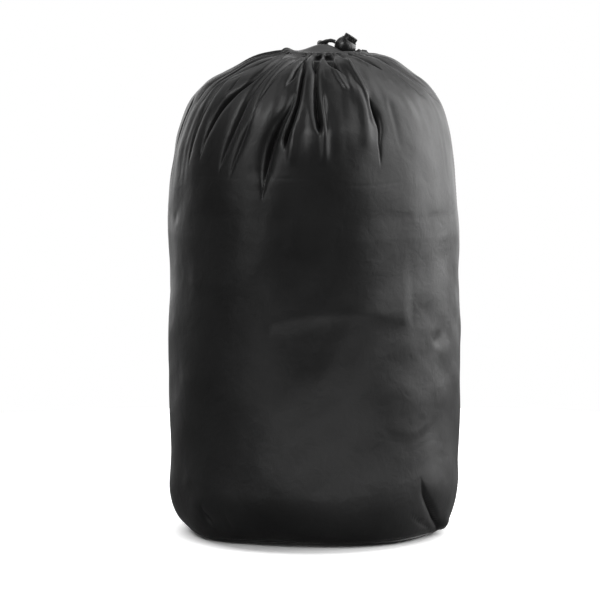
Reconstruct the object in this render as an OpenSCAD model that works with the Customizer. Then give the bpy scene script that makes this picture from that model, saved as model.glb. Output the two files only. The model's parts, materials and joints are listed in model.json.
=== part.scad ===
// Drawstring stuff sack, standing upright and filled out, with a spring cord lock.
// Millimetres. +Z is up, the front faces -Y, and the origin is the centre of the resting face.

/* [Sack] */
// Width of the filled sack
sack_d = 270; // [250:2:290]
// Height of the crown of the shoulder curve
sack_h = 451; // [440:1:470]
// Thickness of the cloth with its coating
cloth = 0.8; // [0.6:0.1:1]
// How far the rounded base corner reaches in from the wall
corner_w = 36; // [32:1:42]
// Height of the rounded base corner
corner_h = 50; // [46:1:55]
// Place of the base seam round the corner, in degrees from the flat of the base
seam_angle = 20; // [16:1:30]
// Height at which the straight wall ends and the shoulder starts
shoulder_z = 300; // [280:2:320]
// Squareness of the shoulder: 2 is an ellipse
shoulder_power = 2.8; // [2.5:0.1:3]

/* [Mouth] */
// How far the gathered mouth sits to the right of the sack's axis
mouth_shift = 10; // [6:1:12]
// Radius of the ring that the drawcord makes in its channel
ring_r = 35; // [34:0.5:36]
// Outer radius of the gathered channel's section
channel_r = 4.5; // [4.2:0.1:4.6]
// Radius of the tunnel inside the channel
tunnel_r = 2.1; // [2:0.1:2.3]
// Half of the angle of the gap where the channel's two ends face each other
gap_half = 13; // [12:1:14]

/* [Drawcord] */
// Diameter of the braided cord
cord_d = 3.5; // [3.3:0.1:3.6]
// Distance between the two cords where they run side by side
cord_pitch = 3.7; // [3.7:0.1:3.9]

/* [Cord lock] */
// Diameter of the ball barrel
ball_d = 20; // [20:0.2:20.6]
// Diameter of the push button
button_d = 13; // [12.8:0.1:13.2]
// How far the button travels when pressed
button_travel = 2.2; // [1.8:0.1:2.2]
// Lean of the button to the right, from upright
lock_tilt = 32.5; // [30:0.5:35]
// Diameter of the spring's wire
wire_d = 0.4; // [0.3:0.1:0.5]

/* [Storm flap] */
// Radius of the flap
flap_r = 56; // [52:1:58]
// Radius of the curve of the crown that swells up through the mouth
crown_r = 68; // [64:1:72]
// Radius of the crown's edge, inside the channel
crown_edge_r = 28.3; // [27:0.1:28.3]
// Distance from the mouth's centre back to the flap's sewn edge
flap_hinge_y = 48; // [46:1:49]

/* [Hidden] */
$fn = 96;

cloth_black = [0.09, 0.09, 0.10];
lining_black = [0.13, 0.13, 0.14];
cord_black = [0.05, 0.05, 0.05];
plastic_black = [0.03, 0.03, 0.03];
steel_grey = [0.62, 0.63, 0.65];

sack_r = sack_d / 2;
flat_r = sack_r - corner_w;          // radius of the flat that the sack stands on
shoulder_r = sack_r - 1;
shoulder_h = sack_h - shoulder_z;
ring_z = sack_h - 4.5;               // height of the drawcord's ring
cord_r = cord_d / 2;
arc_steps = 12;

// Mouth and lock places, in the sack's frame
mouth = [mouth_shift, 0, 0];
lock_at = [mouth_shift + 18.8, 8, sack_h - 0.6];
gap_mid = 13;                        // direction of the channel's gap, seen from above
slide_dir = [-cos(lock_tilt), 0, sin(lock_tilt)];
press_dir = [-sin(lock_tilt), 0, -cos(lock_tilt)];
hole_drop = 1;                       // how far the cord hole lies below the ball's centre

// ---- Helpers -------------------------------------------------------------------------------

function power(x, p) = x <= 0 ? 0 : pow(x, p);
function smooth(x) = x * x * (3 - 2 * x);

// Half section of the base corner, from angle a0 to a1, inset from the outside
function corner_arc(a0, a1, inset) = [
    for (i = [0 : arc_steps]) let (a = a0 + (a1 - a0) * i / arc_steps)
        [flat_r + (corner_w - inset) * sin(a), corner_h - (corner_h - inset) * cos(a)]
];

// Shoulder superellipse: radius and height at parameter t, inset from the outside
function shoulder(t, inset) = [
    (shoulder_r - inset) * power(cos(t), 2 / shoulder_power),
    shoulder_z + (shoulder_h - inset) * power(sin(t), 2 / shoulder_power)
];

function reversed(v) = [for (i = [len(v) - 1 : -1 : 0]) v[i]];
function unit(v) = v / norm(v);

// Direction of a route at point i
function heading(route, i) =
    unit(route[min(i + 1, len(route) - 1)] - route[max(i - 1, 0)]);

// Two directions square to a heading
function side_of(h) = unit(abs(h[2]) > 0.95 ? cross(h, [0, 1, 0]) : cross(h, [0, 0, 1]));
function ring_points(p, h, r, sides) = let (s = side_of(h), u = cross(s, h)) [
    for (k = [0 : sides - 1]) p + r * (cos(360 * k / sides) * s + sin(360 * k / sides) * u)
];

// A tube of the given radius swept along a route
module sweep_tube(route, r, sides = 8) {
    rings = len(route);
    points = [for (i = [0 : rings - 1]) each ring_points(route[i], heading(route, i), r, sides)];
    walls = [
        for (i = [0 : rings - 2], k = [0 : sides - 1]) let (m = (k + 1) % sides)
            [i * sides + k, i * sides + m, (i + 1) * sides + m, (i + 1) * sides + k]
    ];
    first = [for (k = [sides - 1 : -1 : 0]) k];
    last = [for (k = [0 : sides - 1]) (rings - 1) * sides + k];
    polyhedron(points, [first, each walls, last]);
}

// Catmull-Rom curve through a route's points, with n steps between each pair
function spline_point(a, b, c, d, t) =
    0.5 * (2 * b + (c - a) * t + (2 * a - 5 * b + 4 * c - d) * t * t
        + (3 * b - a - 3 * c + d) * t * t * t);
function spline(p, n) = [
    for (i = [0 : len(p) - 2], j = [0 : n - 1])
        spline_point(p[max(i - 1, 0)], p[i], p[i + 1], p[min(i + 2, len(p) - 1)], j / n),
    p[len(p) - 1]
];

// ---- Sack ----------------------------------------------------------------------------------

// Round base: flat where it stands, turned up to the seam
module base_panel() {
    color(cloth_black) rotate_extrude() polygon(concat(
        [[0, 0]], corner_arc(0, seam_angle, 0),
        reversed(corner_arc(0, seam_angle, cloth)), [[0, cloth]]
    ));
}

// One rectangle of cloth rolled into the wall, from the base seam to the shoulder
module side_panel() {
    color(cloth_black) rotate_extrude() polygon(concat(
        corner_arc(seam_angle, 90, 0), [[sack_r, shoulder_z - 20], [shoulder_r, shoulder_z]],
        [[shoulder_r - cloth, shoulder_z], [sack_r - cloth, shoulder_z - 20]],
        reversed(corner_arc(seam_angle, 90, cloth))
    ));
}

// The same cloth drawn in over the shoulder to the mouth, which sits off the sack's axis.
// It is cut in two where it turns inward.
neck_sides = 48;
neck_rings = 14;
shoulder_rings = 6;
neck_end_r = ring_r + channel_r + 0.6;
neck_end_t = acos(pow(neck_end_r / shoulder_r, shoulder_power / 2));
function neck_ring(i, inset) = let (
    t = neck_end_t * i / neck_rings, p = shoulder(t, inset), x = mouth_shift * pow(i / neck_rings, 3)
) [for (k = [0 : neck_sides - 1]) let (a = 360 * k / neck_sides)
    [x + p[0] * cos(a), p[0] * sin(a), p[1]]];

module neck_band(first, last) {
    layers = 2 * (last - first + 1);
    points = [
        for (i = [first : last]) each neck_ring(i, 0),
        for (i = [last : -1 : first]) each neck_ring(i, cloth)
    ];
    faces = [
        for (i = [0 : layers - 1], k = [0 : neck_sides - 1])
            let (j = (i + 1) % layers, m = (k + 1) % neck_sides)
                [i * neck_sides + k, j * neck_sides + k, j * neck_sides + m, i * neck_sides + m]
    ];
    color(cloth_black) polyhedron(points, faces);
}

// Where the wall turns inward over the filling
module shoulder_panel() {
    neck_band(0, shoulder_rings);
}

// Where the pleats draw the cloth together under the channel
module gathered_neck() {
    neck_band(shoulder_rings, neck_rings);
}

// Seam allowance of the wall's one upright seam, inside, on the right
seam_tape_w = 12;
seam_tape_t = 1.2;
module side_seam_tape() {
    spread = seam_tape_w / (PI * sack_r) * 180;
    color(lining_black) rotate([0, 0, -spread / 2]) rotate_extrude(angle = spread)
        translate([sack_r - cloth - seam_tape_t, corner_h])
            square([seam_tape_t, shoulder_z - 20 - corner_h]);
}

// Bound seam allowance round the base, standing inward from the seam
binding_len = 9;
binding_t = 2.4;
module base_seam_binding() {
    foot = corner_arc(seam_angle, 90, cloth + 0.2)[0];
    color(lining_black) rotate_extrude() translate(foot) rotate(90 + seam_angle)
        translate([0.3, -binding_t / 2]) square([binding_len, binding_t]);
}

// Row of stitches round the base seam, on the outside
module base_stitching() {
    foot = corner_arc(seam_angle + 3, 90, -0.35)[0];
    color(cord_black) rotate_extrude() translate(foot) circle(0.3, $fn = 24);
}

// ---- Mouth ---------------------------------------------------------------------------------

// An open ring about the mouth, with its gap beside the cord lock
module mouth_ring(half_gap, radius = ring_r, lift = 0) {
    translate(mouth + [0, 0, ring_z + lift]) rotate([0, 0, gap_mid + half_gap])
        rotate_extrude(angle = 360 - 2 * half_gap) translate([radius, 0]) children();
}

// Gathered hem that the drawcord runs in
module drawcord_channel() {
    color(cloth_black) mouth_ring(gap_half) difference() {
        circle(channel_r);
        circle(tunnel_r);
    }
}

// Close stitching that stops the channel's two ends from tearing
bartack_t = 0.5;
bartack_angle = 4;
module channel_bartacks() {
    color(cord_black) for (start = [gap_half, 360 - gap_half - bartack_angle])
        translate(mouth + [0, 0, ring_z]) rotate([0, 0, gap_mid + start])
            rotate_extrude(angle = bartack_angle) translate([ring_r, 0]) difference() {
                circle(channel_r + bartack_t);
                circle(channel_r);
            }
}

// The part of the drawcord that lies in the channel
module drawcord_loop() {
    color(cord_black) mouth_ring(gap_half) circle(cord_r);
}

// Row of stitches that closes the channel, where the neck's cloth meets it
stitch_r = 0.3;
module channel_stitching() {
    reach = channel_r + stitch_r + 0.05;
    color(cord_black) mouth_ring(gap_half + bartack_angle + 1, ring_r + reach * cos(40), reach * sin(40))
        circle(stitch_r, $fn = 24);
}

// The two stretches from the channel's ends through the lock. side is -1 in front, 1 behind.
function in_hole(t, side) =
    lock_at + t * slide_dir + hole_drop * press_dir + [0, side * cord_pitch / 2, 0];
lead_front = [[45, 0, 446.5], [45, 1.8, 446.3], [44.2, 4, 445.2], [42.2, 5.6, 443.6]];
lead_back = [[41.5, 15.3, 446.5], [42.2, 13.6, 446.3], [42.4, 11.8, 445.2], [41.4, 10.2, 443.6]];
function lead_route(bend, side) = concat(
    spline(concat(bend, [in_hole(-13, side), in_hole(-10, side)]), 2),
    [for (t = [-5, 0, 5, ball_d / 2]) in_hole(t, side)]
);

module drawcord_lead_front() {
    color(cord_black) sweep_tube(lead_route(lead_front, -1), cord_r);
}

module drawcord_lead_back() {
    color(cord_black) sweep_tube(lead_route(lead_back, 1), cord_r);
}

// ---- Storm flap ----------------------------------------------------------------------------

flap_z = ring_z - channel_r - 4;     // top of the flap's flat rim, under the channel
crown_at = mouth + [-1.5, -1, sack_h + 2 - crown_r];
ball_nest = 1.5;                     // room between the ball and the flap it lies on
lead_room = 4.6;                     // radius of the groove under the two leads
hinge_at = mouth + [0, flap_hinge_y + 0.2, flap_z - cloth / 2];
hinge_bead_r = 0.5;

// Crown of the flap as a solid cap, inset from the outside
module crown_cap(inset) {
    intersection() {
        translate(crown_at) sphere(crown_r - inset);
        translate([crown_at[0], crown_at[1], flap_z - cloth - inset])
            cylinder(r = crown_edge_r - inset, h = crown_r);
    }
}

// The hollow that the ball lies in, the groove it slides up along the cords, and the
// groove under the cords that lead into it
module nest(extra) {
    nest_r = ball_d / 2 + ball_nest + extra;
    translate(lock_at) sphere(nest_r);
    translate(lock_at) rotate([0, lock_tilt - 90, 0]) cylinder(r = nest_r, h = 30);
    translate(lock_at) rotate([0, lock_tilt + 90, 0]) cylinder(r = lead_room + extra, h = 14.5);
}

// Everything in front of the flap's sewn edge
module before_hinge(y) {
    translate(mouth + [-80, y - 160, flap_z - 40]) cube([160, 160, 80]);
}

// Inner flap that covers the filling, pressed up through the mouth and dented by the lock
module storm_flap() {
    color(cloth_black) intersection() {
        difference() {
            union() {
                crown_cap(0);
                translate(mouth + [0, 0, flap_z - cloth]) cylinder(r = flap_r, h = cloth);
            }
            nest(0);
            difference() {
                crown_cap(cloth);
                nest(cloth);
            }
        }
        before_hinge(flap_hinge_y - hinge_bead_r);
    }
}

// Rolled hem on the flap's free edge
hem_r = 1.1;
module flap_hem() {
    start = 180 - asin((flap_hinge_y - 2) / (flap_r + hem_r));
    color(lining_black) translate(mouth + [0, 0, flap_z - cloth / 2]) rotate([0, 0, start])
        rotate_extrude(angle = 540 - 2 * start) translate([flap_r + hem_r, 0]) circle(hem_r);
}

// Strip that hangs the flap's back edge from the underside of the neck, with the rolled
// edge that the flap folds about
module flap_hinge_tape() {
    tape_w = 40;
    color(lining_black) union() {
        translate(hinge_at + [-tape_w / 2, 0.1, 0]) cube([tape_w, 1.4, 7.8]);
        translate(hinge_at) rotate([0, 90, 0])
            cylinder(r = hinge_bead_r, h = tape_w, center = true, $fn = 32);
    }
}

// ---- Cord lock -----------------------------------------------------------------------------

// Places its children in the lock's own frame: +Z out of the button, +X towards the channel
module in_lock() {
    translate(lock_at) rotate([0, lock_tilt, 0]) children();
}

bore_r = button_d / 2 + 0.07;
bore_floor = -6.9;
pocket_r = 3.9;
pocket_floor = -8.3;
button_bottom = -4.4;
button_top = 11.8;
pocket_roof = -3.7;
hole_r = cord_r + 0.35;

// Slot for two cords side by side, from height z0 to z1, with round ends where it is low
module cord_slot(length, z0, z1) {
    half = cord_pitch / 2;
    for (y = [-half, half], z = [z0 + hole_r, z1 - hole_r])
        translate([0, y, z]) rotate([0, 90, 0]) cylinder(r = hole_r, h = length, center = true);
    translate([-length / 2, -half, z0]) cube([length, 2 * half, z1 - z0]);
    if (z1 - z0 > 2 * hole_r)
        translate([-length / 2, -half - hole_r, z0 + hole_r])
            cube([length, 2 * (half + hole_r), z1 - z0 - 2 * hole_r]);
}

// Ball with a bore for the button, a pocket for the spring and a cross hole for the cords
module lock_barrel() {
    ball_r = ball_d / 2;
    color(plastic_black) in_lock() difference() {
        union() {
            intersection() {
                sphere(ball_r);
                translate([0, 0, -9.3]) cylinder(r = ball_r + 1, h = 30);
            }
            cylinder(r = bore_r + 0.9, h = 7.7);
        }
        translate([0, 0, bore_floor]) cylinder(r = bore_r, h = 30);
        translate([0, 0, pocket_floor]) cylinder(r = pocket_r, h = 10);
        cord_slot(3 * ball_r, -hole_drop - hole_r, -hole_drop + hole_r);
    }
}

// Push button whose slot grips the cords against the barrel until it is pressed
flutes = 22;
module lock_button() {
    button_r = button_d / 2;
    chamfer = 0.7;
    color(plastic_black) in_lock() difference() {
        union() {
            translate([0, 0, button_bottom])
                cylinder(r = button_r, h = button_top - chamfer - button_bottom);
            translate([0, 0, button_top - chamfer])
                cylinder(r1 = button_r, r2 = button_r - chamfer, h = chamfer);
        }
        translate([0, 0, button_top - 0.6]) cylinder(r = button_r - 1.9, h = 2);
        translate([0, 0, button_bottom - 1]) cylinder(r = pocket_r, h = pocket_roof - button_bottom + 1);
        cord_slot(3 * button_r, -hole_drop - cord_r - 0.05, -hole_drop + hole_r + button_travel + 0.1);
        for (i = [0 : flutes - 1]) rotate([0, 0, (i + 0.5) * 360 / flutes])
            translate([button_r + 0.25, 0, 8.3]) cylinder(r = 0.6, h = 5, $fn = 24);
    }
}

// Compression spring under the button
module lock_spring() {
    turns = 3.5;
    coil_r = 3.3;
    z0 = pocket_floor + wire_d / 2 + 0.05;
    z1 = pocket_roof - wire_d / 2 - 0.05;
    steps = 16 * turns;
    route = [for (i = [0 : steps]) let (a = 360 * turns * i / steps)
        [coil_r * cos(a), coil_r * sin(a), z0 + (z1 - z0) * smooth(i / steps)]];
    color(steel_grey) in_lock() sweep_tube(route, wire_d / 2, 6);
}

// ---- Free ends of the drawcord -------------------------------------------------------------

// Middle line of the two tails: out of the ball, over the flap and the channel, down the back
tail_middle = [
    [19.55, 8, 455.05], [17.6, 8, 455.9], [15.2, 8.2, 456.3], [12.6, 8.9, 455.8],
    [10.2, 10.4, 454.8], [8.2, 12.8, 453.8], [6.9, 15.9, 453.3], [6.4, 19.6, 453],
    [6.4, 24, 453.1], [6.7, 29.2, 453.5], [7.3, 35.2, 453.8], [8.2, 41.8, 453.5],
    [9.3, 49, 452.4], [10.4, 58, 450], [11.3, 69, 446.3], [11.8, 81, 441],
    [11.8, 92, 434.3], [11.4, 103, 424.9], [10.7, 113, 413], [9.9, 121, 399.6],
    [9, 127.6, 383.3], [8.2, 132.6, 362.8], [7.6, 135.6, 339.2], [7.2, 137.3, 315.7],
    [7, 137.8, 290], [7, 137.9, 264], [7, 138, 238], [7, 138.1, 212],
    [7, 138.2, 189.7]
];

// One tail, half a pitch to the side of the middle line. side is -1 or 1.
function tail_route(side) = let (line = spline(tail_middle, 3)) [
    for (i = [0 : len(line) - 1]) let (h = heading(line, i))
        line[i] + side * cord_pitch / 2 * unit([h[1] + 0.001, -h[0], 0])
];

module drawcord_tail_front() {
    color(cord_black) sweep_tube(tail_route(-1), cord_r);
}

module drawcord_tail_back() {
    color(cord_black) sweep_tube(tail_route(1), cord_r);
}

knot_at = [7, 141, 184];
module cord_knot() {
    color(cord_black) translate(knot_at) sphere(5.4);
}

module cord_ends() {
    color(cord_black) for (x = [-2, 2])
        translate(knot_at + [x, -1, -20]) cylinder(r = cord_r, h = 14.8);
}

base_panel();
side_panel();
shoulder_panel();
gathered_neck();
side_seam_tape();
base_seam_binding();
base_stitching();
drawcord_channel();
channel_bartacks();
channel_stitching();
drawcord_loop();
drawcord_lead_front();
drawcord_lead_back();
flap_hinge_tape();
storm_flap();
flap_hem();
lock_barrel();
lock_spring();
lock_button();
drawcord_tail_front();
drawcord_tail_back();
cord_knot();
cord_ends();
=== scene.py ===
import json
import math
from functools import partial

import bmesh
import bpy
import numpy as np
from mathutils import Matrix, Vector

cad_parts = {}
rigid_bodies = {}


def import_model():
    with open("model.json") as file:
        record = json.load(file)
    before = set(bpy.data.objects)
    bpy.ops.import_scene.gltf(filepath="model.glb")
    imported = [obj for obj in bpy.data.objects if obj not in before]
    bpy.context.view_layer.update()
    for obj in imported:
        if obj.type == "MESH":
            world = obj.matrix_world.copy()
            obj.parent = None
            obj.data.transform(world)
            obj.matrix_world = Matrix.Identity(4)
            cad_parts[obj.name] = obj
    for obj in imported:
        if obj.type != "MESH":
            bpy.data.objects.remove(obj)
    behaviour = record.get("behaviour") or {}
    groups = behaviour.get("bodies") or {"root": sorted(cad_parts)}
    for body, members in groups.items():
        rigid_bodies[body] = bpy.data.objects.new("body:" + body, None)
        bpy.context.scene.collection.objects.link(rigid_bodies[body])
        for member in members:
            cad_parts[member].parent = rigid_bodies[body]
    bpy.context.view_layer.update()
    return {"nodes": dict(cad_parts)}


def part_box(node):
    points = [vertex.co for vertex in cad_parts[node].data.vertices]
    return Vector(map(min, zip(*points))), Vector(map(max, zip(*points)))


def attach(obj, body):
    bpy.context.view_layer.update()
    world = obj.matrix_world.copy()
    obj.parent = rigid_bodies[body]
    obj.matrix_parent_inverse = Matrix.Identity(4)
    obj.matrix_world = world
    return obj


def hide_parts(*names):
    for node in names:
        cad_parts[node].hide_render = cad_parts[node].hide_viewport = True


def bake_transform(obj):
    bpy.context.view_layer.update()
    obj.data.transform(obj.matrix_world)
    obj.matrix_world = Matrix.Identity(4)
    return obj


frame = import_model()

MM = 0.001
TURN = 2 * math.pi
scene = bpy.context.scene
scene.view_settings.view_transform = "Standard"


# ---- Camera ----

CAMERA_DISTANCE = 4.0
CAMERA_RISE = math.radians(5.5)
AIM = Vector((-0.01303, 0.0, 0.2152))
FRAME_WIDTH = 0.5586

cam_data = bpy.data.cameras.new("camera")
cam = bpy.data.objects.new("camera", cam_data)
scene.collection.objects.link(cam)
cam.location = AIM + CAMERA_DISTANCE * Vector((0, -math.cos(CAMERA_RISE), math.sin(CAMERA_RISE)))
cam.rotation_euler = (math.radians(90) - CAMERA_RISE, 0, 0)
cam_data.sensor_width = 36
cam_data.lens = 36 * CAMERA_DISTANCE / FRAME_WIDTH
cam_data.clip_start, cam_data.clip_end = 0.05, 60
scene.camera = cam


# ---- Mesh helpers ----

def mesh_object(name, verts, faces, uv=None, smooth=True):
    """A mesh object from points in millimetres."""
    mesh = bpy.data.meshes.new(name)
    verts = np.asarray(verts, float) * MM
    faces = np.asarray(faces, np.int32)
    n, k = faces.shape
    mesh.vertices.add(len(verts))
    mesh.vertices.foreach_set("co", verts.ravel())
    mesh.loops.add(n * k)
    mesh.loops.foreach_set("vertex_index", faces.ravel())
    mesh.polygons.add(n)
    mesh.polygons.foreach_set("loop_start", np.arange(0, n * k, k, dtype=np.int32))
    mesh.polygons.foreach_set("use_smooth", np.full(n, smooth))
    mesh.update(calc_edges=True)
    if uv is not None:
        layer = mesh.uv_layers.new(name="UVMap")
        layer.data.foreach_set("uv", np.asarray(uv, np.float32).ravel())
    mesh.validate()
    obj = bpy.data.objects.new(name, mesh)
    scene.collection.objects.link(obj)
    return obj


def grid_faces(rows, cols, closed=True):
    """Quads of a grid of rows by cols points, stored row by row."""
    i = np.arange(rows - 1)[:, None]
    k = np.arange(cols if closed else cols - 1)[None, :]
    m = (k + 1) % cols
    return np.stack([i * cols + k, i * cols + m, (i + 1) * cols + m, (i + 1) * cols + k],
                    -1).reshape(-1, 4)


def grid_uv(u, v):
    """Corner UVs of a closed grid; u has one more value than there are columns."""
    cols = len(u) - 1
    uu = np.stack([u[:-1], u[1:], u[1:], u[:-1]], -1)
    out = np.empty((len(v) - 1, cols, 4, 2))
    out[..., 0] = uu[None]
    out[..., 0:2, 1] = v[:-1, None, None]
    out[..., 2:4, 1] = v[1:, None, None]
    return out.reshape(-1, 2)


def catmull(points, n):
    """Catmull-Rom curve through the points, with n steps between each pair, as in the CAD."""
    p = np.asarray(points, float)
    out = []
    for i in range(len(p) - 1):
        a, b, c, d = p[max(i - 1, 0)], p[i], p[i + 1], p[min(i + 2, len(p) - 1)]
        for t in np.arange(n) / n:
            out.append(0.5 * (2 * b + (c - a) * t + (2 * a - 5 * b + 4 * c - d) * t * t
                              + (3 * b - a - 3 * c + d) * t ** 3))
    out.append(p[-1])
    return np.array(out)


def resample(path, step):
    """The same line with points every step millimetres."""
    path = np.asarray(path, float)
    seg = np.linalg.norm(np.diff(path, axis=0), axis=1)
    s = np.concatenate([[0], np.cumsum(seg)])
    want = np.linspace(0, s[-1], max(2, int(round(s[-1] / step)) + 1))
    return np.stack([np.interp(want, s, path[:, i]) for i in range(3)], -1), want


def smoothed(path, rounds):
    path = path.copy()
    for _ in range(rounds):
        path[1:-1] = 0.25 * path[:-2] + 0.5 * path[1:-1] + 0.25 * path[2:]
    return path


def transport_frame(path):
    """Two directions across a line at each of its points, without twist."""
    t = np.gradient(path, axis=0)
    t /= np.linalg.norm(t, axis=1)[:, None]
    u = np.zeros_like(t)
    start = np.cross(t[0], [0, 0, 1.0])
    if np.linalg.norm(start) < 1e-3:
        start = np.cross(t[0], [0, 1.0, 0])
    u[0] = start / np.linalg.norm(start)
    for i in range(1, len(t)):
        w = u[i - 1] - t[i] * (u[i - 1] @ t[i])
        u[i] = w / np.linalg.norm(w)
    return u, np.cross(t, u)


def rings(line, radius, sides):
    """Rings of points round a line. radius has a value for each ring or for each point."""
    u, v = transport_frame(line)
    a = np.arange(sides) / sides * TURN
    around = np.cos(a)[None, :, None] * u[:, None] + np.sin(a)[None, :, None] * v[:, None]
    return (line[:, None] + radius[..., None] * around).reshape(-1, 3)


BRAID_PITCH = 4.4      # length of one turn of a braid strand pair, in millimetres
BRAID_STRANDS = 8


def braided_tube(name, path, radius, step=0.3, sides=32):
    """A cord with the diamond relief of a braid, its ends closed. path is in millimetres."""
    line, s = resample(smoothed(resample(path, 0.8)[0], 4), step)
    a = np.arange(sides) / sides * TURN
    phase = s[:, None] / BRAID_PITCH * TURN
    one = np.cos(BRAID_STRANDS / 2 * a[None] + phase)
    two = np.cos(BRAID_STRANDS / 2 * a[None] - phase)
    relief = 0.085 * np.maximum(one, two) + 0.03 * one * two
    obj = mesh_object(name, rings(line, radius * 0.955 + relief, sides),
                      grid_faces(len(line), sides), grid_uv(np.arange(sides + 1) / sides, s * MM))
    close_ends(obj)
    return obj, line


def close_ends(obj):
    """Fills the open boundary loops of a tube."""
    bm = bmesh.new()
    bm.from_mesh(obj.data)
    edges = [e for e in bm.edges if e.is_boundary]
    if edges:
        bmesh.ops.holes_fill(bm, edges=edges, sides=0)
    bmesh.ops.recalc_face_normals(bm, faces=bm.faces)
    bm.to_mesh(obj.data)
    bm.free()


# ---- Drawcord: routes as in the CAD ----

CORD_D = 3.5
PITCH = 3.7
TILT = math.radians(32.5)
LOCK_AT = np.array([28.8, 8.0, 450.4])
SLIDE = np.array([-math.cos(TILT), 0, math.sin(TILT)])
PRESS = np.array([-math.sin(TILT), 0, -math.cos(TILT)])
MOUTH_X = 10.0
RING_R = 35.0
RING_Z = 446.5

TAIL_MIDDLE = [
    [19.55, 8, 455.05], [17.6, 8, 455.9], [15.2, 8.2, 456.3], [12.6, 8.9, 455.8],
    [10.2, 10.4, 454.8], [8.2, 12.8, 453.8], [6.9, 15.9, 453.3], [6.4, 19.6, 453],
    [6.4, 24, 453.1], [6.7, 29.2, 453.5], [7.3, 35.2, 453.8], [8.2, 41.8, 453.5],
    [9.3, 49, 452.4], [10.4, 58, 450], [11.3, 69, 446.3], [11.8, 81, 441],
    [11.8, 92, 434.3], [11.4, 103, 424.9], [10.7, 113, 413], [9.9, 121, 399.6],
    [9, 127.6, 383.3], [8.2, 132.6, 362.8], [7.6, 135.6, 339.2], [7.2, 137.3, 315.7],
    [7, 137.8, 290], [7, 137.9, 264], [7, 138, 238], [7, 138.1, 212],
    [7, 138.2, 189.7]]
LEAD_FRONT = [[45, 0, 446.5], [45, 1.8, 446.3], [44.2, 4, 445.2], [42.2, 5.6, 443.6]]
LEAD_BACK = [[41.5, 15.3, 446.5], [42.2, 13.6, 446.3], [42.4, 11.8, 445.2], [41.4, 10.2, 443.6]]
KNOT_AT = np.array([7.0, 141.0, 184.0])


def in_hole(t, side):
    return LOCK_AT + t * SLIDE + PRESS + np.array([0, side * PITCH / 2, 0])


def lead_route(bend, side):
    """From the channel's end into the lock and through it."""
    start = catmull(list(bend) + [in_hole(-13, side), in_hole(-10, side)], 2)
    return np.concatenate([start, [in_hole(t, side) for t in (-5, 0, 5, 10)]])


def tail_route(side):
    line = catmull(TAIL_MIDDLE, 3)
    h = np.empty_like(line)
    last = len(line) - 1
    for i in range(len(line)):
        d = line[min(i + 1, last)] - line[max(i - 1, 0)]
        h[i] = d / np.linalg.norm(d)
    across = np.stack([h[:, 1] + 0.001, -h[:, 0], np.zeros(len(h))], -1)
    across /= np.linalg.norm(across, axis=1)[:, None]
    return line + side * PITCH / 2 * across


def as_metres(path):
    return [[float(x) * MM for x in p] for p in path]


# ---- Materials ----

def add(tree, kind, links=(), **values):
    """A node with settings by attribute or socket name, and links as (socket, from_socket)."""
    node = tree.nodes.new(kind)
    for key, value in values.items():
        if hasattr(node, key):
            setattr(node, key, value)
        else:
            node.inputs[key.replace("_", " ")].default_value = value
    for socket, source in links:
        tree.links.new(source, node.inputs[socket])
    return node


def new_material(name, **values):
    """A material, its tree, its Principled shader with these socket values, and coordinates."""
    mat = bpy.data.materials.new(name)
    mat.use_nodes = True
    tree = mat.node_tree
    tree.nodes.clear()
    out = add(tree, "ShaderNodeOutputMaterial")
    bsdf = add(tree, "ShaderNodeBsdfPrincipled", **values)
    tree.links.new(bsdf.outputs[0], out.inputs[0])
    return mat, tree, bsdf, add(tree, "ShaderNodeTexCoord")


def feed(tree, bsdf, **sources):
    """Links each source to the shader's socket of that name."""
    for key, source in sources.items():
        tree.links.new(source, bsdf.inputs[key.replace("_", " ")])


def noise(tree, at, **values):
    return add(tree, "ShaderNodeTexNoise", [("Vector", at)], **values).outputs["Fac"]


def bump(tree, height, strength, distance, under=()):
    node = add(tree, "ShaderNodeBump", [("Height", height), *under], Strength=strength,
               Distance=distance)
    return node.outputs["Normal"]


def maths(tree, operation, a, b=None):
    node = add(tree, "ShaderNodeMath", operation=operation)
    for i, value in enumerate((a, b)):
        if isinstance(value, (int, float)):
            node.inputs[i].default_value = value
        elif value is not None:
            tree.links.new(value, node.inputs[i])
    return node.outputs[0]


def ramp(tree, source, stops):
    """A colour ramp through (place, colour or level) stops."""
    node = tree.nodes.new("ShaderNodeValToRGB")
    tree.links.new(source, node.inputs[0])
    els = node.color_ramp.elements
    while len(els) < len(stops):
        els.new(0.5)
    for el, (place, value) in zip(els, stops):
        el.position = place
        el.color = (*value, 1) if isinstance(value, tuple) else (value, value, value, 1)
    return node.outputs[0]


def grey(v):
    """A black or grey with a trace of blue."""
    return (v, v, v * 1.02)


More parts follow.
